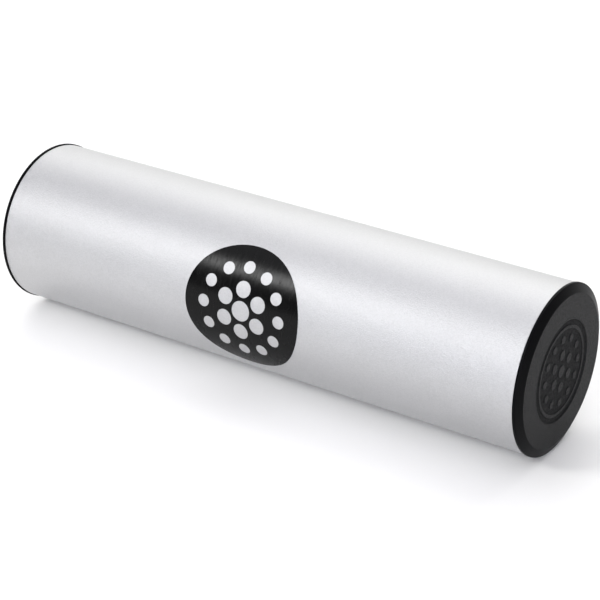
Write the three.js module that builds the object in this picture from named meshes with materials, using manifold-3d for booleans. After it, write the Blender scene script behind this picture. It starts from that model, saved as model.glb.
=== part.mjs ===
// A tube shaker: an aluminium tube with a moulded cap pressed into each end and loose steel beads inside.
// Millimetres, +Z up. It lies on its side along X, and the origin is under its middle, on the surface it lies on.
import * as THREE from "three";
import { mergeVertices } from "three/addons/utils/BufferGeometryUtils.js";
import Module from "manifold-3d";

const wasm = await Module();
wasm.setup();

// Tube
const TUBE_LENGTH = 229;
const TUBE_DIAMETER = 63.5;
const TUBE_WALL = 1.5;
const TUBE_EDGE_CHAMFER = 0.3;

// Cap flange, which covers the tube's end
const FLANGE_OVERHANG = 0.35;
const FLANGE_THICKNESS = 2.6;
const FLANGE_RIM = 1.05;
const FLANGE_BEVEL_INSET = 3.4;
const FLANGE_EDGE_RADIUS = 0.35;

// Medallion sunk in the cap's face
const MEDALLION_DIAMETER = 38.6;
const MEDALLION_DEPTH = 0.5;
const MEDALLION_WALL_TAPER = 0.3;
const MEDALLION_EDGE_RADIUS = 0.25;
const MEDALLION_RING_DIAMETER = 33;
const MEDALLION_RING_WIDTH = 1;
const MEDALLION_RELIEF = 0.35;
const RELIEF_TAPER = 0.3;

// Raised pips in the medallion's ring: one in the middle, then rings of six and twelve
const PIP_RINGS = 2;
const PIP_RING_PITCH = 6.2;
const PIP_MIDDLE_DIAMETER = 5;
const PIP_DIAMETER_STEP = 0.9;
const PIP_SIDES = 10;

// Cap plug, which goes into the tube
const PLUG_DEPTH = 12;
const PLUG_WALL = 2;
const PLUG_FLOOR_THICKNESS = 2.4;
const PLUG_LEAD_IN = 0.8;
const PLUG_FIT_GAP = 0.15;
const FIN_COUNT = 2;
const FIN_HEIGHT = 0.6;
const FIN_LENGTH = 2;
const FIRST_FIN_DEPTH = 2.2;

// Round vinyl label, wrapped on the tube
const LABEL_DIAMETER = 50.7;
const LABEL_THICKNESS = 0.2;
const LABEL_GAP = 0.1;
const LABEL_SHIFT = 0.8;
const LABEL_LIFT = THREE.MathUtils.degToRad(7.2);
const LABEL_OUTLINE_STEPS = 28;

// Loose beads, at rest in rows along the bottom of the tube
const BEAD_DIAMETER = 6;
const BEAD_GAP = 0.3;
const BEAD_WALL_GAP = 0.15;
const ROW_LENGTH = 69;
const BEAD_ROWS = ["back_outer", "back_inner", "bottom", "front_inner", "front_outer"];

// Facets round the tube and the caps: an even number, so that a flat one is lowest
const ROUND_STEPS = 64;
const CORNER_STEPS = 2;

const FACET = (2 * Math.PI) / ROUND_STEPS;
const FLAT_SHARE = Math.cos(FACET / 2);

const tubeRadius = TUBE_DIAMETER / 2;
const boreRadius = tubeRadius - TUBE_WALL;
const flangeRadius = tubeRadius + FLANGE_OVERHANG;
const faceRadius = flangeRadius - FLANGE_BEVEL_INSET;
const medallionRadius = MEDALLION_DIAMETER / 2;
const medallionFloor = FLANGE_THICKNESS - MEDALLION_DEPTH;
const finRadius = boreRadius - PLUG_FIT_GAP;
const plugRadius = finRadius - FIN_HEIGHT;
const axisHeight = flangeRadius * FLAT_SHARE;

const silver = new THREE.MeshStandardMaterial({ color: 0xc8c9ce, roughness: 0.42, metalness: 0.9 });
const black = new THREE.MeshStandardMaterial({ color: 0x242426, roughness: 0.62, metalness: 0 });
const vinyl = new THREE.MeshStandardMaterial({ color: 0x151517, roughness: 0.22, metalness: 0 });
const steel = new THREE.MeshStandardMaterial({ color: 0x9a9ca1, roughness: 0.25, metalness: 1 });

// A profile of radius against distance along the axis, turned round the X axis.
function turned(profile, outward = 1) {
  const lathe = new THREE.LatheGeometry(profile, ROUND_STEPS, FACET / 2);
  return lathe.rotateZ((-outward * Math.PI) / 2);
}

// Adds a line to the path and rounds the corner where it ends, before it turns towards the next point.
function lineToRounded(path, corner, next, radius) {
  const before = path.currentPoint.clone();
  const start = corner.clone().add(before.sub(corner).setLength(radius));
  const end = corner.clone().add(next.clone().sub(corner).setLength(radius));
  path.lineTo(start.x, start.y);
  path.quadraticCurveTo(corner.x, corner.y, end.x, end.y);
}

function solidOf(geometry) {
  const bare = geometry.index ? geometry.toNonIndexed() : geometry.clone();
  bare.deleteAttribute("normal");
  bare.deleteAttribute("uv");
  const merged = mergeVertices(bare, 1e-4);
  return new wasm.Manifold(
    new wasm.Mesh({
      numProp: 3,
      vertProperties: new Float32Array(merged.attributes.position.array),
      triVerts: new Uint32Array(merged.index.array),
    }),
  );
}

function geometryOf(solid) {
  const mesh = solid.getMesh();
  const geometry = new THREE.BufferGeometry();
  geometry.setAttribute("position", new THREE.BufferAttribute(mesh.vertProperties, mesh.numProp));
  geometry.setIndex(new THREE.BufferAttribute(mesh.triVerts, 1));
  const flat = geometry.toNonIndexed();
  flat.computeVertexNormals();
  return flat;
}

function tubeGeometry() {
  const end = TUBE_LENGTH / 2;
  const cut = TUBE_EDGE_CHAMFER;
  const profile = [
    new THREE.Vector2(boreRadius + cut, -end),
    new THREE.Vector2(tubeRadius - cut, -end),
    new THREE.Vector2(tubeRadius, -end + cut),
    new THREE.Vector2(tubeRadius, end - cut),
    new THREE.Vector2(tubeRadius - cut, end),
    new THREE.Vector2(boreRadius + cut, end),
    new THREE.Vector2(boreRadius, end - cut),
    new THREE.Vector2(boreRadius, -end + cut),
    new THREE.Vector2(boreRadius + cut, -end),
  ];
  return turned(profile);
}

// The cap's section, drawn from the axis at its face, out over the flange, back along the plug and in to the axis,
// and given back the other way round so that it faces out. Distance 0 is the tube's end, and outward is positive.
function capProfile() {
  const at = (radius, distance) => new THREE.Vector2(radius, distance);
  const ringMiddle = MEDALLION_RING_DIAMETER / 2;
  const ringTop = medallionFloor + MEDALLION_RELIEF;
  const halfRing = MEDALLION_RING_WIDTH / 2;
  const path = new THREE.Path();
  path.moveTo(0, medallionFloor);
  path.lineTo(ringMiddle - halfRing - RELIEF_TAPER, medallionFloor);
  path.lineTo(ringMiddle - halfRing, ringTop);
  path.lineTo(ringMiddle + halfRing, ringTop);
  path.lineTo(ringMiddle + halfRing + RELIEF_TAPER, medallionFloor);
  path.lineTo(medallionRadius - MEDALLION_WALL_TAPER, medallionFloor);

  const recessEdge = at(medallionRadius, FLANGE_THICKNESS);
  const faceEdge = at(faceRadius, FLANGE_THICKNESS);
  const rimTop = at(flangeRadius, FLANGE_RIM);
  const rimFoot = at(flangeRadius, 0);
  lineToRounded(path, recessEdge, faceEdge, MEDALLION_EDGE_RADIUS);
  lineToRounded(path, faceEdge, rimTop, FLANGE_EDGE_RADIUS);
  lineToRounded(path, rimTop, rimFoot, FLANGE_EDGE_RADIUS);
  path.lineTo(rimFoot.x, rimFoot.y);
  path.lineTo(plugRadius, 0);

  const finPitch = (PLUG_DEPTH - PLUG_LEAD_IN - FIRST_FIN_DEPTH) / FIN_COUNT;
  for (let i = 0; i < FIN_COUNT; i++) {
    const depth = FIRST_FIN_DEPTH + i * finPitch;
    path.lineTo(plugRadius, -depth);
    path.lineTo(finRadius, -depth);
    path.lineTo(plugRadius, -depth - FIN_LENGTH);
  }

  const insideRadius = plugRadius - PLUG_WALL;
  const insideFloor = medallionFloor - PLUG_FLOOR_THICKNESS;
  path.lineTo(plugRadius, -PLUG_DEPTH + PLUG_LEAD_IN);
  path.lineTo(plugRadius - PLUG_LEAD_IN, -PLUG_DEPTH);
  path.lineTo(insideRadius, -PLUG_DEPTH);
  path.lineTo(insideRadius, insideFloor);
  path.lineTo(0, insideFloor);
  return path.getPoints(CORNER_STEPS).reverse();
}

// The raised pips of the medallion, in rings round its centre, each with its foot just under the medallion's floor.
function pipSolids(outward) {
  const sunk = MEDALLION_RELIEF / 2;
  const height = MEDALLION_RELIEF + sunk;
  const middle = outward * (TUBE_LENGTH / 2 + medallionFloor - sunk + height / 2);
  const pips = [];
  for (let ring = 0; ring <= PIP_RINGS; ring++) {
    const count = Math.max(1, 6 * ring);
    const reach = ring * PIP_RING_PITCH;
    const radius = (PIP_MIDDLE_DIAMETER - ring * PIP_DIAMETER_STEP) / 2;
    for (let i = 0; i < count; i++) {
      const turn = (i * 2 * Math.PI) / count;
      const pip = new THREE.CylinderGeometry(radius - RELIEF_TAPER, radius, height, PIP_SIDES);
      pip.rotateZ((-outward * Math.PI) / 2);
      pip.translate(middle, reach * Math.sin(turn), reach * Math.cos(turn));
      pips.push(solidOf(pip));
    }
  }
  return pips;
}

function capGeometry(outward) {
  const plain = turned(capProfile(), outward);
  plain.translate((outward * TUBE_LENGTH) / 2, 0, 0);
  const cap = pipSolids(outward).reduce((whole, pip) => whole.add(pip), solidOf(plain));
  return geometryOf(cap);
}

// How far the faceted tube's surface is from the axis, at an angle from straight up, for a given corner radius.
function facetedRadius(cornerRadius, angle) {
  const fromFlatMiddle = angle - Math.round(angle / FACET) * FACET;
  return (cornerRadius * FLAT_SHARE) / Math.cos(fromFlatMiddle);
}

// A disc wrapped on the tube: cross-sections of the wrapped circle, one at each outline step and each tube corner.
function labelGeometry() {
  const inner = tubeRadius + LABEL_GAP;
  const outer = inner + LABEL_THICKNESS;
  const labelRadius = LABEL_DIAMETER / 2;
  const middle = Math.PI / 2 - LABEL_LIFT;
  const angles = [];
  for (let i = 0; i < LABEL_OUTLINE_STEPS; i++) {
    const along = labelRadius * Math.cos(((i + 0.5) * Math.PI) / LABEL_OUTLINE_STEPS);
    angles.push(middle - along / tubeRadius);
  }
  const first = angles[0];
  const last = angles[angles.length - 1];
  for (let corner = (Math.ceil(first / FACET) - 0.5) * FACET; corner < last; corner += FACET) {
    const clear = angles.every((angle) => Math.abs(angle - corner) > FACET / 50);
    if (corner > first && clear) angles.push(corner);
  }
  angles.sort((a, b) => a - b);

  const positions = [];
  for (const angle of angles) {
    const along = (angle - middle) * tubeRadius;
    const halfWidth = Math.sqrt(labelRadius ** 2 - along ** 2);
    for (const [radius, side] of [[inner, 1], [inner, -1], [outer, -1], [outer, 1]]) {
      const reach = facetedRadius(radius, angle);
      positions.push(LABEL_SHIFT + side * halfWidth, -reach * Math.sin(angle), reach * Math.cos(angle));
    }
  }

  const faces = [];
  const quad = (a, b, c, d) => faces.push(a, b, c, a, c, d);
  const sections = angles.length;
  for (let i = 0; i < sections - 1; i++) {
    const here = 4 * i;
    const next = here + 4;
    for (let k = 0; k < 4; k++) {
      const after = (k + 1) % 4;
      quad(here + k, next + k, next + after, here + after);
    }
  }
  const lastSection = 4 * (sections - 1);
  quad(0, 1, 2, 3);
  quad(lastSection + 3, lastSection + 2, lastSection + 1, lastSection);
  const geometry = new THREE.BufferGeometry();
  geometry.setAttribute("position", new THREE.Float32BufferAttribute(positions, 3));
  geometry.setIndex(faces);
  return geometryOf(solidOf(geometry));
}

// The beads lie side by side in rows on the bore. Every other row is a bead shorter, so it lies half a bead along.
// Two stray beads lie in the bottom row's path, against the right cap's plug.
function beadMeshes() {
  const geometry = new THREE.IcosahedronGeometry(BEAD_DIAMETER / 2, 1);
  const trackRadius = boreRadius * FLAT_SHARE - BEAD_DIAMETER / 2 - BEAD_WALL_GAP;
  const pitch = BEAD_DIAMETER + BEAD_GAP;
  const rowTurn = 2 * Math.asin(pitch / (2 * trackRadius));
  const middleRow = (BEAD_ROWS.length - 1) / 2;
  const longRowCount = Math.floor((ROW_LENGTH + BEAD_GAP) / pitch);
  const beadAt = (name, along, turn) => {
    const bead = named(name, geometry, steel);
    bead.position.set(along, trackRadius * Math.sin(turn), -trackRadius * Math.cos(turn));
    return bead;
  };
  const rows = BEAD_ROWS.flatMap((row, rowIndex) => {
    const turn = (middleRow - rowIndex) * rowTurn;
    const count = longRowCount - (rowIndex % 2);
    return Array.from({ length: count }, (_, i) => {
      const number = String(i + 1).padStart(2, "0");
      return beadAt(`bead_${row}_${number}`, (i - (count - 1) / 2) * pitch, turn);
    });
  });
  const againstPlug = TUBE_LENGTH / 2 - PLUG_DEPTH - BEAD_GAP - BEAD_DIAMETER / 2;
  const strays = [1, 2].map((number) => beadAt(`bead_stray_${number}`, againstPlug - (number - 1) * pitch, 0));
  return [...rows, ...strays];
}

function named(name, geometry, material) {
  const mesh = new THREE.Mesh(geometry, material);
  mesh.name = name;
  return mesh;
}

// Everything is modelled about the tube's axis, and this group lifts it to lie on the surface below.
const aboutAxis = new THREE.Group();
aboutAxis.position.z = axisHeight;
aboutAxis.add(
  named("body_tube", tubeGeometry(), silver),
  named("right_end_cap", capGeometry(1), black),
  named("left_end_cap", capGeometry(-1), black),
  named("front_label", labelGeometry(), vinyl),
  ...beadMeshes(),
);

const shaker = new THREE.Group();
shaker.add(aboutAxis);

export default shaker;
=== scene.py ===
import math

import bmesh
import bpy
from mathutils import Matrix, Vector


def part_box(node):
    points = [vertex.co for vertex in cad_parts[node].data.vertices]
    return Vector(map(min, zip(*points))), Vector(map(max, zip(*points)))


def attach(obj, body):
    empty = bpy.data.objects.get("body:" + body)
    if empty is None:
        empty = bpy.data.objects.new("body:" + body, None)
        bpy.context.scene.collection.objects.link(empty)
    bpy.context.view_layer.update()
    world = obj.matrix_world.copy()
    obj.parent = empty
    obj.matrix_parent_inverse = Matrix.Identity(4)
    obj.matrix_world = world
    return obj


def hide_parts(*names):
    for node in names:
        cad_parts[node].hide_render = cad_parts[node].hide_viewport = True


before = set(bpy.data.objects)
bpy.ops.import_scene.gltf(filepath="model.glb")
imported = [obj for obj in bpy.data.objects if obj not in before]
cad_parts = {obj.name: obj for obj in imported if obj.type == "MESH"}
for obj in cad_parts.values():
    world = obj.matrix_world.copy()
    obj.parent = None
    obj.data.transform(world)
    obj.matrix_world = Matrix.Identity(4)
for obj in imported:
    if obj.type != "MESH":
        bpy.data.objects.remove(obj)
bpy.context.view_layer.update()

MM = 0.001

# Sizes that the frame gives

tube_low, tube_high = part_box("body_tube")
cap_low, cap_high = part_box("right_end_cap")
bead_low, bead_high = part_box("bead_stray_1")
TUBE_END = tube_high.x
TUBE_RADIUS = (tube_high.z - tube_low.z) / 2
AXIS_HEIGHT = (tube_high.z + tube_low.z) / 2
FLANGE_RADIUS = (cap_high.z - cap_low.z) / 2
FLANGE_THICKNESS = cap_high.x - TUBE_END
PLUG_DEPTH = TUBE_END - cap_low.x
BEAD_DIAMETER = bead_high.z - bead_low.z

# Sizes of the tube and the caps, as in the solids

TUBE_WALL = 1.5 * MM
TUBE_EDGE = 0.3 * MM
BORE_RADIUS = TUBE_RADIUS - TUBE_WALL
FLANGE_RIM = 1.05 * MM
FLANGE_BEVEL_INSET = 3.4 * MM
FACE_RADIUS = FLANGE_RADIUS - FLANGE_BEVEL_INSET
MEDALLION_RADIUS = 19.3 * MM
MEDALLION_FLOOR = FLANGE_THICKNESS - 0.5 * MM
MEDALLION_WALL_TAPER = 0.3 * MM
RING_RADIUS = 16.5 * MM
RING_WIDTH = 1 * MM
RELIEF = 0.35 * MM
RELIEF_TAPER = 0.3 * MM
PLUG_FIT_GAP = 0.15 * MM
PLUG_WALL = 2 * MM
PLUG_FLOOR = MEDALLION_FLOOR - 2.4 * MM
PLUG_LEAD_IN = 0.8 * MM
FIN_COUNT = 2
FIN_HEIGHT = 0.6 * MM
FIN_LENGTH = 2 * MM
FIRST_FIN_DEPTH = 2.2 * MM

# Softened edges of the caps

FLANGE_EDGE = 0.35 * MM
FACE_EDGE = 0.6 * MM
MEDALLION_EDGE = 0.2 * MM
MEDALLION_FOOT = 0.15 * MM
FINE_EDGE = 0.12 * MM
PIP_EDGE = 0.25 * MM
PLUG_ROOT = 0.3 * MM
PLUG_LIP = 0.3 * MM
PLUG_LEAD_EDGE = 0.2 * MM
PLUG_CORNER = 0.5 * MM

# Raised pips in the medallion's ring: one in the middle, then rings of six and twelve

PIP_RINGS = 2
PIP_RING_PITCH = 6.2 * MM
PIP_MIDDLE_DIAMETER = 5 * MM
PIP_DIAMETER_STEP = 0.9 * MM

# The round label, and the dots of its print, set out as the pips are

LABEL_RADIUS = 25.35 * MM
LABEL_THICKNESS = 0.14 * MM
LABEL_SHIFT = 0.8 * MM
LABEL_LIFT = math.radians(7.2)
DOT_RINGS = 2
DOT_RING_PITCH = 8.4 * MM
DOT_MIDDLE_DIAMETER = 7.8 * MM
DOT_DIAMETER_STEP = 1.5 * MM

# How finely the meshes are cut, and the angle from which an edge stays sharp

ROUND_STEPS = 256
CORNER_STEPS = 5
SUPPORT_SHARE = 0.3
PIP_STEPS = 48
SHARP_ANGLE = math.radians(40)

SIXTH_OF_TURN = 2 * math.pi / 6


class Socket:
    """An output in a node tree. Arithmetic on it adds Math nodes."""

    def __init__(self, tree, output):
        self.tree = tree
        self.output = output

    def math(self, operation, *others):
        sockets = dict(enumerate([self, *others]))
        return self.tree.add("ShaderNodeMath", {"operation": operation}, sockets)

    def __add__(self, other):
        return self.math("ADD", other)

    def __sub__(self, other):
        return self.math("SUBTRACT", other)

    def __mul__(self, other):
        return self.math("MULTIPLY", other)

    def __truediv__(self, other):
        return self.math("DIVIDE", other)

    def __pow__(self, other):
        return self.math("POWER", other)

    __radd__ = __add__
    __rmul__ = __mul__

    def __rsub__(self, other):
        return self * -1 + other

    def __rtruediv__(self, other):
        return self ** -1 * other

    def beside(self, name):
        """Another output of the same node."""
        return Socket(self.tree, self.output.node.outputs[name])

    def rise(self, low, high):
        """0 below low, 1 above high, and a smooth rise between them."""
        settings = {"interpolation_type": "SMOOTHSTEP"}
        sockets = {"Value": self, "From Min": low, "From Max": high}
        return self.tree.add("ShaderNodeMapRange", settings, sockets)


class Tree:
    """A node tree, grown by add() from a node's type, its settings and what its sockets take."""

    def __init__(self, tree):
        self.tree = tree

    def add(self, kind, settings=None, sockets=None, output=0):
        node = self.tree.nodes.new(kind)
        for name, value in (settings or {}).items():
            setattr(node, name, value)
        for name, value in (sockets or {}).items():
            self.feed(node.inputs[name], value)
        return Socket(self, node.outputs[output]) if node.outputs else node

    def feed(self, socket, value):
        if isinstance(value, Socket):
            self.tree.links.new(value.output, socket)
        elif socket.type == "RGBA" and not isinstance(value, (int, float)):
            socket.default_value = (*value, 1)
        else:
            socket.default_value = value

    def mixed(self, factor, low, high):
        """A colour from low, where the factor is 0, to high, where it is 1."""
        sockets = {0: factor, 6: low, 7: high}
        return self.add("ShaderNodeMix", {"data_type": "RGBA"}, sockets, output=2)

    def noise(self, place, size, detail=2.0, roughness=0.5):
        """Noise whose features are about as large as size, in metres."""
        sockets = {"Vector": place, "Scale": 1 / size, "Detail": detail, "Roughness": roughness}
        return self.add("ShaderNodeTexNoise", {}, sockets)

    def bump(self, height, distance):
        return self.add("ShaderNodeBump", {}, {"Height": height, "Distance": distance})

    def object_place(self):
        return self.add("ShaderNodeTexCoord", {}, {}, output="Object")

    def parts(self, vector):
        """The X part of a vector, with its Y and Z beside it."""
        return self.add("ShaderNodeSeparateXYZ", {}, {"Vector": vector})

    def axis_distance(self, place):
        """How far a place is from the tube's axis."""
        y = self.parts(place).beside("Y")
        up = y.beside("Z") - AXIS_HEIGHT
        return (y * y + up * up) ** 0.5


def new_material(name, surface):
    """A material whose tree is grown by the function surface, which gives its shader."""
    material = bpy.data.materials.new(name)
    material.use_nodes = True
    material.node_tree.nodes.clear()
    tree = Tree(material.node_tree)
    tree.add("ShaderNodeOutputMaterial", {}, {"Surface": surface(tree)})
    return material


# Finishes

def silver_lacquer(tree):
    """Satin silver: metal flakes of slightly different brightness and gloss, in a pebbled coat."""
    flake_size = 0.4 * MM
    pebble_size = 0.5 * MM
    place = tree.object_place()
    sockets = {"Vector": place, "Scale": 1 / flake_size}
    flakes = tree.parts(tree.add("ShaderNodeTexVoronoi", {}, sockets, output="Color"))
    pebbles = tree.noise(place, pebble_size, detail=3, roughness=0.7)
    cloud = tree.noise(place, 25 * MM)
    brightness = flakes * 0.8 + cloud * 0.2
    return tree.add("ShaderNodeBsdfPrincipled", {}, {
        "Base Color": tree.mixed(brightness, (0.45, 0.45, 0.455), (0.54, 0.54, 0.545)),
        "Metallic": 1.0,
        "Roughness": flakes * 0.16 + cloud * 0.06 + 0.36,
        "Normal": tree.bump(pebbles, 0.17 * MM),
    })


def black_moulding(tree):
    """Black plastic: a grained face, a duller floor round the relief, a smooth bevel and rim."""
    grain_size = 0.6 * MM
    blend = 0.3 * MM
    place = tree.object_place()
    grain = tree.noise(place, grain_size, detail=3, roughness=0.7).rise(0.3, 0.7)
    cloud = tree.noise(place, 9 * MM, detail=3)
    shade = grain * 0.7 + cloud * 0.3
    face = 1 - tree.axis_distance(place).rise(FACE_RADIUS - blend, FACE_RADIUS + blend)
    above_floor = tree.parts(place).math("ABSOLUTE") - (TUBE_END + MEDALLION_FLOOR)
    raised = above_floor.rise(0.1 * MM, RELIEF - 0.02 * MM)
    grained = tree.add("ShaderNodeBsdfPrincipled", {}, {
        "Base Color": tree.mixed(shade, (0.0010, 0.0010, 0.0011), (0.0110, 0.0110, 0.0116)),
        "Roughness": 0.87 - raised * 0.22 - grain * 0.15,
        "Specular IOR Level": 0.2,
        "Normal": tree.bump(grain, 0.1 * MM),
    })
    smooth = tree.add("ShaderNodeBsdfPrincipled", {}, {
        "Base Color": tree.mixed(cloud, (0.0006, 0.0006, 0.0010), (0.0018, 0.0018, 0.0024)),
        "Roughness": cloud * 0.1 + 0.33,
        "Specular IOR Level": 0.05,
        "Normal": tree.bump(grain, 0.01 * MM),
    })
    return tree.add("ShaderNodeMixShader", {}, {0: face, 1: smooth, 2: grained})


def print_mask(tree):
    """1 inside the label's printed dots: one in the middle, then rings of six and twelve."""
    flat = tree.parts(tree.add("ShaderNodeUVMap", {"uv_map": "label_flat"}))
    across = (flat - 0.5) * (2 * LABEL_RADIUS)
    up = (flat.beside("Y") - 0.5) * (2 * LABEL_RADIUS)
    radius = (across * across + up * up) ** 0.5
    ring = (radius / DOT_RING_PITCH).math("ROUND").math("MINIMUM", DOT_RINGS)
    sector = SIXTH_OF_TURN / ring.math("MAXIMUM", 1)
    turn = across.math("ARCTAN2", up)
    aside = turn - (turn / sector).math("ROUND") * sector
    on = radius * aside.math("COSINE") - ring * DOT_RING_PITCH
    off = radius * aside.math("SINE")
    distance = (on * on + off * off) ** 0.5
    dot_radius = DOT_MIDDLE_DIAMETER / 2 - ring * (DOT_DIAMETER_STEP / 2)
    ink_edge = 0.04 * MM
    return (dot_radius - distance).rise(-ink_edge, ink_edge)


def printed_vinyl(tree):
    """Glossy black vinyl with fine streaks round the tube. Its dots have the tube's own silver."""
    place = tree.object_place()
    stretched = {"Vector": place, "Scale": (1, 0.25, 0.25)}
    streaks = tree.noise(tree.add("ShaderNodeMapping", {}, stretched), 1.1 * MM, detail=3)
    patches = tree.noise(place, 3 * MM, detail=2)
    vinyl = tree.add("ShaderNodeBsdfPrincipled", {}, {
        "Base Color": tree.mixed(patches, (0.0022, 0.0022, 0.0022), (0.0034, 0.0034, 0.0034)),
        "Roughness": streaks * 0.25 + patches * 0.1 + 0.07,
        "Specular IOR Level": 0.12,
        "Normal": tree.bump(streaks * 0.6 + patches * 0.4, 0.06 * MM),
    })
    layers = {0: print_mask(tree), 1: vinyl, 2: silver_lacquer(tree)}
    return tree.add("ShaderNodeMixShader", {}, layers)


def steel_shot(tree):
    """Steel shot, dulled by knocks and rubbing."""
    place = tree.object_place()
    rubs = tree.noise(place, 0.8 * MM, detail=4)
    return tree.add("ShaderNodeBsdfPrincipled", {}, {
        "Base Color": tree.mixed(rubs, (0.30, 0.30, 0.31), (0.52, 0.52, 0.53)),
        "Metallic": 1.0,
        "Roughness": rubs * 0.2 + 0.15,
        "Normal": tree.bump(rubs, 0.02 * MM),
    })


def pale_paper(tree):
    """The studio's floor, off-white and dull, with a faint large cloud."""
    cloud = tree.noise(tree.object_place(), 0.4)
    return tree.add("ShaderNodeBsdfPrincipled", {}, {
        "Base Color": tree.mixed(cloud, (0.877, 0.870, 0.850), (0.907, 0.900, 0.880)),
        "Roughness": 0.9,
        "Specular IOR Level": 0.1,
    })


# Meshes

def mesh_object(name, bm):
    mesh = bpy.data.meshes.new(name)
    bm.to_mesh(mesh)
    bm.free()
    made = bpy.data.objects.new(name, mesh)
    bpy.context.scene.collection.objects.link(made)
    return made


def finish(piece, material, body, nodes):
    """Gives a piece its shading and finish and its body, and hides the solids that it stands for.
    """
    mesh = piece.data
    mesh.polygons.foreach_set("use_smooth", [True] * len(mesh.polygons))
    mesh.set_sharp_from_angle(angle=SHARP_ANGLE)
    mesh.materials.clear()
    mesh.materials.append(material)
    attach(piece, body)
    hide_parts(*nodes)


def rounded(corners, closed=False):
    """A profile through (along, radius, fillet) corners, with support points beside each fillet."""
    points = []
    last = len(corners) - 1
    for i, (along, radius, fillet) in enumerate(corners):
        corner = Vector((along, radius))
        if not fillet or (not closed and i in (0, last)):
            points.append(corner)
            continue
        back = (Vector(corners[i - 1][:2]) - corner).normalized()
        on = (Vector(corners[(i + 1) % len(corners)][:2]) - corner).normalized()
        half = back.angle(on) / 2
        reach = fillet / math.tan(half)
        centre = corner + (back + on).normalized() * (fillet / math.sin(half))
        spoke = corner + back * reach - centre
        turn = spoke.angle_signed(corner + on * reach - centre)
        points.append(corner + back * (reach + SUPPORT_SHARE * fillet))
        for step in range(CORNER_STEPS + 1):
            points.append(centre + Matrix.Rotation(-turn * step / CORNER_STEPS, 2) @ spoke)
        points.append(corner + on * (reach + SUPPORT_SHARE * fillet))
    return points


def bridge(bm, loops):
    """Faces between neighbouring loops of vertices, where a loop of one is a pole."""
    steps = max(len(loop) for loop in loops)
    for here, beyond in zip(loops, loops[1:]):
        for i in range(steps):
            corners = [here[k % len(here)] for k in (i, i + 1)]
            corners += [beyond[k % len(beyond)] for k in (i + 1, i)]
            bm.faces.new(list(dict.fromkeys(corners)))
    bmesh.ops.recalc_face_normals(bm, faces=bm.faces)


def circle(bm, along, radius, steps, height):
    """A loop of vertices round a line along X at a height. It is one vertex if the radius is 0."""
    loop = []
    for i in range(steps if radius > 0 else 1):
        angle = 2 * math.pi * i / steps
        place = (along, radius * math.sin(angle), height + radius * math.cos(angle))
        loop.append(bm.verts.new(place))
    return loop


def turned(profile, steps=ROUND_STEPS, height=AXIS_HEIGHT, closed=False):
    """A mesh of the profile turned round the tube's axis, or round a line at another height."""
    bm = bmesh.new()
    loops = [circle(bm, along, radius, steps, height) for along, radius in profile]
    if closed:
        loops.append(loops[0])
    bridge(bm, loops)
    return bm


# Geometry node groups

def new_group(name, sizes):
    """A node group with an input for each named size: its tree and its Group Input."""
    group = bpy.data.node_groups.new(name, "GeometryNodeTree")
    group.interface.new_socket("Geometry", in_out="INPUT", socket_type="NodeSocketGeometry")
    group.interface.new_socket("Geometry", in_out="OUTPUT", socket_type="NodeSocketGeometry")
    for size, value in sizes.items():
        kind = "NodeSocketVector" if isinstance(value, Vector) else "NodeSocketFloat"
        group.interface.new_socket(size, in_out="INPUT", socket_type=kind)
    tree = Tree(group)
    return tree, tree.add("NodeGroupInput")


def grown(name, base, tree, sizes):
    """The plain mesh object that the node group makes of a base with these sizes."""
    modifier = base.modifiers.new("grow", "NODES")
    modifier.node_group = tree.tree
    for item in tree.tree.interface.items_tree:
        if item.in_out == "INPUT" and item.name in sizes:
            modifier[item.identifier] = sizes[item.name]
    evaluated = base.evaluated_get(bpy.context.evaluated_depsgraph_get())
    mesh = bpy.data.meshes.new_from_object(evaluated)
    base.modifiers.clear()
    bpy.data.objects.remove(base)
    piece = bpy.data.objects.new(name, mesh)
    bpy.context.scene.collection.objects.link(piece)
    return piece


PIP_SIZES = {
    "Rings": float(PIP_RINGS),
    "Ring pitch": PIP_RING_PITCH,
    "Middle diameter": PIP_MIDDLE_DIAMETER,
    "Diameter step": PIP_DIAMETER_STEP,
    "Floor": TUBE_END + MEDALLION_FLOOR,
    "Axis height": AXIS_HEIGHT,
}


def pip_group(template, material):
    """Adds the pips to a cap: one in the middle, then rings of six times the ring's number.

    Up to ring n that makes 3n(n + 1) + 1 pips, so a pip's ring follows from its index.
    """
    tree, sizes = new_group("medallion_pips", PIP_SIZES)
    rings = sizes.beside("Rings")
    index = tree.add("GeometryNodeInputIndex")
    ring = (((index * 12 + 9) ** 0.5 - 3) / 6).math("CEIL")
    before = ring * (ring - 1) * 3 + 1
    turn = (index - before) * SIXTH_OF_TURN / ring.math("MAXIMUM", 1)
    reach = ring * sizes.beside("Ring pitch")
    place = tree.add("ShaderNodeCombineXYZ", {}, {
        "X": sizes.beside("Floor"),
        "Y": reach * turn.math("SINE"),
        "Z": reach * turn.math("COSINE") + sizes.beside("Axis height"),
    })
    count = rings * (rings + 1) * 3 + 1
    points = tree.add("GeometryNodePoints", {}, {"Count": count, "Position": place})
    middle = sizes.beside("Middle diameter")
    share = (middle - ring * sizes.beside("Diameter step")) / middle
    scale = tree.add("ShaderNodeCombineXYZ", {}, {"X": 1, "Y": share, "Z": share})
    pip = tree.add("GeometryNodeObjectInfo", {}, {"Object": template}, output="Geometry")
    placed = {"Points": points, "Instance": pip, "Scale": scale}
    pips = tree.add("GeometryNodeInstanceOnPoints", {}, placed)
    joined = tree.add("GeometryNodeJoinGeometry", {}, {"Geometry": sizes})
    tree.feed(joined.output.node.inputs["Geometry"], pips)
    real = tree.add("GeometryNodeRealizeInstances", {}, {"Geometry": joined})
    done = tree.add("GeometryNodeSetMaterial", {}, {"Geometry": real, "Material": material})
    tree.add("NodeGroupOutput", {}, {"Geometry": done})
    return tree


ROW_SIZES = {"Count": 1.0, "First": Vector(), "Step": Vector()}


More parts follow.
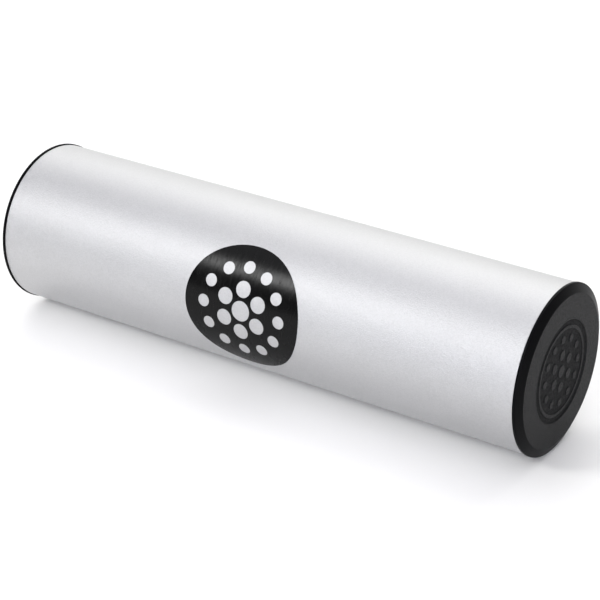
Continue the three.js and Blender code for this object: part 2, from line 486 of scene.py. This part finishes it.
def row_group(template, material):
    """Beads in a straight row, each turned its own way."""
    tree, sizes = new_group("bead_row", ROW_SIZES)
    line = tree.add("GeometryNodeMeshLine", {"mode": "OFFSET"}, {
        "Count": sizes.beside("Count"),
        "Start Location": sizes.beside("First"),
        "Offset": sizes.beside("Step"),
    })
    bead = tree.add("GeometryNodeObjectInfo", {}, {"Object": template}, output="Geometry")
    any_turn = {"Max": (2 * math.pi, 2 * math.pi, 2 * math.pi), "Seed": 3}
    spin = tree.add("FunctionNodeRandomValue", {"data_type": "FLOAT_VECTOR"}, any_turn)
    placed = {"Points": line, "Instance": bead, "Rotation": spin}
    beads = tree.add("GeometryNodeInstanceOnPoints", {}, placed)
    real = tree.add("GeometryNodeRealizeInstances", {}, {"Geometry": beads})
    done = tree.add("GeometryNodeSetMaterial", {}, {"Geometry": real, "Material": material})
    tree.add("NodeGroupOutput", {}, {"Geometry": done})
    return tree


# The tube

def make_tube(material):
    corners = [
        (-TUBE_END, BORE_RADIUS, TUBE_EDGE),
        (-TUBE_END, TUBE_RADIUS, TUBE_EDGE),
        (TUBE_END, TUBE_RADIUS, TUBE_EDGE),
        (TUBE_END, BORE_RADIUS, TUBE_EDGE),
    ]
    tube = mesh_object("satin_silver_tube", turned(rounded(corners, closed=True), closed=True))
    finish(tube, material, "shell", ["body_tube"])


# The end caps

def cap_profile():
    """The cap's section, from the axis at its face, round flange and plug, to the axis inside."""
    fin_radius = BORE_RADIUS - PLUG_FIT_GAP
    plug_radius = fin_radius - FIN_HEIGHT
    plug_inside = plug_radius - PLUG_WALL
    floor = MEDALLION_FLOOR
    half_ring = RING_WIDTH / 2
    corners = [
        (floor, 0, 0),
        (floor, RING_RADIUS - half_ring - RELIEF_TAPER, FINE_EDGE),
        (floor + RELIEF, RING_RADIUS - half_ring, FINE_EDGE),
        (floor + RELIEF, RING_RADIUS + half_ring, FINE_EDGE),
        (floor, RING_RADIUS + half_ring + RELIEF_TAPER, FINE_EDGE),
        (floor, MEDALLION_RADIUS - MEDALLION_WALL_TAPER, MEDALLION_FOOT),
        (FLANGE_THICKNESS, MEDALLION_RADIUS, MEDALLION_EDGE),
        (FLANGE_THICKNESS, FACE_RADIUS, FACE_EDGE),
        (FLANGE_RIM, FLANGE_RADIUS, FLANGE_EDGE),
        (0, FLANGE_RADIUS, FINE_EDGE),
        (0, plug_radius, PLUG_ROOT),
    ]
    fin_pitch = (PLUG_DEPTH - PLUG_LEAD_IN - FIRST_FIN_DEPTH) / FIN_COUNT
    for i in range(FIN_COUNT):
        depth = FIRST_FIN_DEPTH + i * fin_pitch
        corners += [
            (-depth, plug_radius, FINE_EDGE),
            (-depth, fin_radius, FINE_EDGE),
            (-depth - FIN_LENGTH, plug_radius, 0),
        ]
    corners += [
        (-PLUG_DEPTH + PLUG_LEAD_IN, plug_radius, PLUG_LEAD_EDGE),
        (-PLUG_DEPTH, plug_radius - PLUG_LEAD_IN, PLUG_LEAD_EDGE),
        (-PLUG_DEPTH, plug_inside, PLUG_LIP),
        (PLUG_FLOOR, plug_inside, PLUG_CORNER),
        (PLUG_FLOOR, 0, 0),
    ]
    return rounded([(TUBE_END + along, radius, fillet) for along, radius, fillet in corners])


def pip_template():
    """The middle pip on the origin, along X, with its foot under the medallion's floor."""
    radius = PIP_MIDDLE_DIAMETER / 2
    profile = rounded([
        (RELIEF, 0, 0),
        (RELIEF, radius - RELIEF_TAPER, PIP_EDGE),
        (-RELIEF / 2, radius + RELIEF_TAPER / 2, 0),
        (-RELIEF / 2, 0, 0),
    ])
    return mesh_object("pip_template", turned(profile, steps=PIP_STEPS, height=0))


def make_caps(material):
    template = pip_template()
    pips = pip_group(template, material)
    for side, half_turns in (("right", 0), ("left", 1)):
        plain_cap = mesh_object("plain_cap", turned(cap_profile()))
        cap = grown(side + "_black_cap", plain_cap, pips, PIP_SIZES)
        cap.data.transform(Matrix.Rotation(math.pi * half_turns, 4, "Z"))
        finish(cap, material, "shell", [side + "_end_cap"])
    bpy.data.objects.remove(template)


# The round label

def make_label(material):
    """A thin disc wrapped on the tube, with a softened edge and a flat map of it for the print."""
    rings = 40
    spokes = 192
    edge = 0.06 * MM
    glue = 0.01 * MM
    section = [(LABEL_RADIUS * i / rings, LABEL_THICKNESS) for i in range(rings)]
    section += [
        (LABEL_RADIUS - edge, LABEL_THICKNESS),
        (LABEL_RADIUS, LABEL_THICKNESS - edge),
        (LABEL_RADIUS, 0),
    ]
    section += [(LABEL_RADIUS * i / rings, 0) for i in reversed(range(rings))]
    bm = bmesh.new()
    loops = []
    flat_places = {}
    for reach, height in section:
        loop = []
        steps = spokes if reach > 0 else 1
        for i in range(steps):
            turn = 2 * math.pi * i / steps
            across = reach * math.cos(turn)
            up = reach * math.sin(turn)
            angle = LABEL_LIFT + up / TUBE_RADIUS
            radius = TUBE_RADIUS + glue + height
            y = -radius * math.cos(angle)
            vert = bm.verts.new((LABEL_SHIFT + across, y, AXIS_HEIGHT + radius * math.sin(angle)))
            flat_places[vert] = (0.5 + across / (2 * LABEL_RADIUS), 0.5 + up / (2 * LABEL_RADIUS))
            loop.append(vert)
        loops.append(loop)
    bridge(bm, loops)
    flat = bm.loops.layers.uv.new("label_flat")
    for face in bm.faces:
        for corner in face.loops:
            corner[flat].uv = flat_places[corner.vert]
    label = mesh_object("round_black_label", bm)
    finish(label, material, "shell", ["front_label"])


# The beads

def bead_template():
    """One steel shot, not quite round: shallow hollows lie where the three waves meet."""
    hollow_depth = 0.03 * MM
    bm = bmesh.new()
    bmesh.ops.create_icosphere(bm, subdivisions=4, radius=BEAD_DIAMETER / 2)
    for vert in bm.verts:
        way = vert.co.normalized()
        hollow = math.sin(5 * way.x + 1) * math.sin(4 * way.y + 2) * math.sin(6 * way.z)
        vert.co -= way * (hollow_depth * (1 + hollow))
    return mesh_object("bead_template", bm)


def make_beads(material):
    """The beads, one piece for each body that carries some of them."""
    template = bead_template()
    row = row_group(template, material)
    bodies = {"swirl_bead": ["bead_stray_1"], "throw_bead": ["bead_stray_2"]}
    for node in sorted(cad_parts):
        kind, _, rest = node.partition("_")
        if kind == "bead" and not rest.startswith("stray"):
            bodies.setdefault("row_" + rest.rpartition("_")[0], []).append(node)
    for body, nodes in bodies.items():
        first, last = (sum(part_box(node), Vector()) / 2 for node in (nodes[0], nodes[-1]))
        step = (last - first) / max(1, len(nodes) - 1)
        sizes = {"Count": float(len(nodes)), "First": first, "Step": step}
        beads = grown(body + "_shot", mesh_object("no_beads", bmesh.new()), row, sizes)
        finish(beads, material, body, nodes)
    bpy.data.objects.remove(template)


# Floor, light and camera

# A glow is its colour, its azimuth and elevation, and the angles from there within which it is
# at full strength, and past which it has none.
ROOM_COLOUR = (0.14, 0.14, 0.15)
BACK_GLOW = ((1.72, 1.72, 1.67), -155, 38, 28, 38)
FRONT_GLOW = ((5.45, 5.60, 6.10), 22, 0, 25, 31)
CEILING_GLOW = ((1.12, 1.12, 1.18), 0, 90, 38, 56)
SOFTBOX_RADIANCE = 22.5
SOFTBOX_AZIMUTH = -33
SOFTBOX_ELEVATION = 34
SOFTBOX_DISTANCE = 1.2
SOFTBOX_SIZE = (0.30, 0.26)

CAMERA_AZIMUTH = 34.07
CAMERA_ELEVATION = 26.49
CAMERA_DISTANCE = 739.7 * MM
CAMERA_AIM = Vector((5.1 * MM, 1.3 * MM, AXIS_HEIGHT - 3.7 * MM))
CAMERA_LENS = 116.33
SENSOR_WIDTH = 36

FLOOR_REACH = 4


def direction(azimuth, elevation):
    """The direction at an azimuth from -Y towards +X and at an elevation, both in degrees."""
    turn = math.radians(azimuth)
    rise = math.radians(elevation)
    level = math.cos(rise)
    return Vector((math.sin(turn) * level, -math.cos(turn) * level, math.sin(rise)))


def facing(name, data, place, towards):
    """An object of a camera or light at a place, looking towards a direction."""
    holder = bpy.data.objects.new(name, data)
    holder.location = place
    holder.rotation_euler = towards.to_track_quat("-Z", "Y").to_euler()
    bpy.context.scene.collection.objects.link(holder)
    return holder


def make_floor(material):
    bm = bmesh.new()
    bmesh.ops.create_grid(bm, x_segments=1, y_segments=1, size=FLOOR_REACH)
    floor = mesh_object("pale_floor", bm)
    floor.data.materials.append(material)


def make_studio():
    """A dim room with soft glows: low in front, high behind the object's left end, and overhead."""
    world = bpy.data.worlds.new("studio")
    world.use_nodes = True
    world.node_tree.nodes.clear()
    sky = Tree(world.node_tree)
    way = sky.add("ShaderNodeTexCoord", {}, {}, output="Generated")
    light = ROOM_COLOUR
    for colour, azimuth, elevation, full, last in (BACK_GLOW, FRONT_GLOW, CEILING_GLOW):
        dot_product = {"operation": "DOT_PRODUCT"}
        sockets = {0: way, 1: direction(azimuth, elevation)}
        nearness = sky.add("ShaderNodeVectorMath", dot_product, sockets, output="Value")
        strength = nearness.rise(math.cos(math.radians(last)), math.cos(math.radians(full)))
        glow = sky.mixed(strength, (0, 0, 0), colour)
        light = sky.add("ShaderNodeVectorMath", {"operation": "ADD"}, {0: glow, 1: light})
    background = sky.add("ShaderNodeBackground", {}, {"Color": light})
    sky.add("ShaderNodeOutputWorld", {}, {"Surface": background})
    bpy.context.scene.world = world


def make_softbox():
    """A rectangular lamp in front of the object's left end. Its radiance sets its power."""
    light = bpy.data.lights.new("softbox", "AREA")
    light.shape = "RECTANGLE"
    light.size, light.size_y = SOFTBOX_SIZE
    light.energy = SOFTBOX_RADIANCE * math.pi * light.size * light.size_y
    out = direction(SOFTBOX_AZIMUTH, SOFTBOX_ELEVATION)
    facing("softbox", light, Vector((0, 0, AXIS_HEIGHT)) + out * SOFTBOX_DISTANCE, -out)


def make_camera():
    camera = bpy.data.cameras.new("camera")
    camera.lens = CAMERA_LENS
    camera.sensor_width = SENSOR_WIDTH
    back = direction(CAMERA_AZIMUTH, CAMERA_ELEVATION)
    bpy.context.scene.camera = facing("camera", camera, CAMERA_AIM + back * CAMERA_DISTANCE, -back)


bpy.context.scene.view_settings.view_transform = "Standard"
make_camera()
make_floor(new_material("pale_paper", pale_paper))
make_studio()
make_softbox()

plastic = new_material("black_moulded_plastic", black_moulding)
make_tube(new_material("satin_silver_lacquer", silver_lacquer))
make_caps(plastic)
make_label(new_material("printed_black_vinyl", printed_vinyl))
make_beads(new_material("steel_shot", steel_shot))
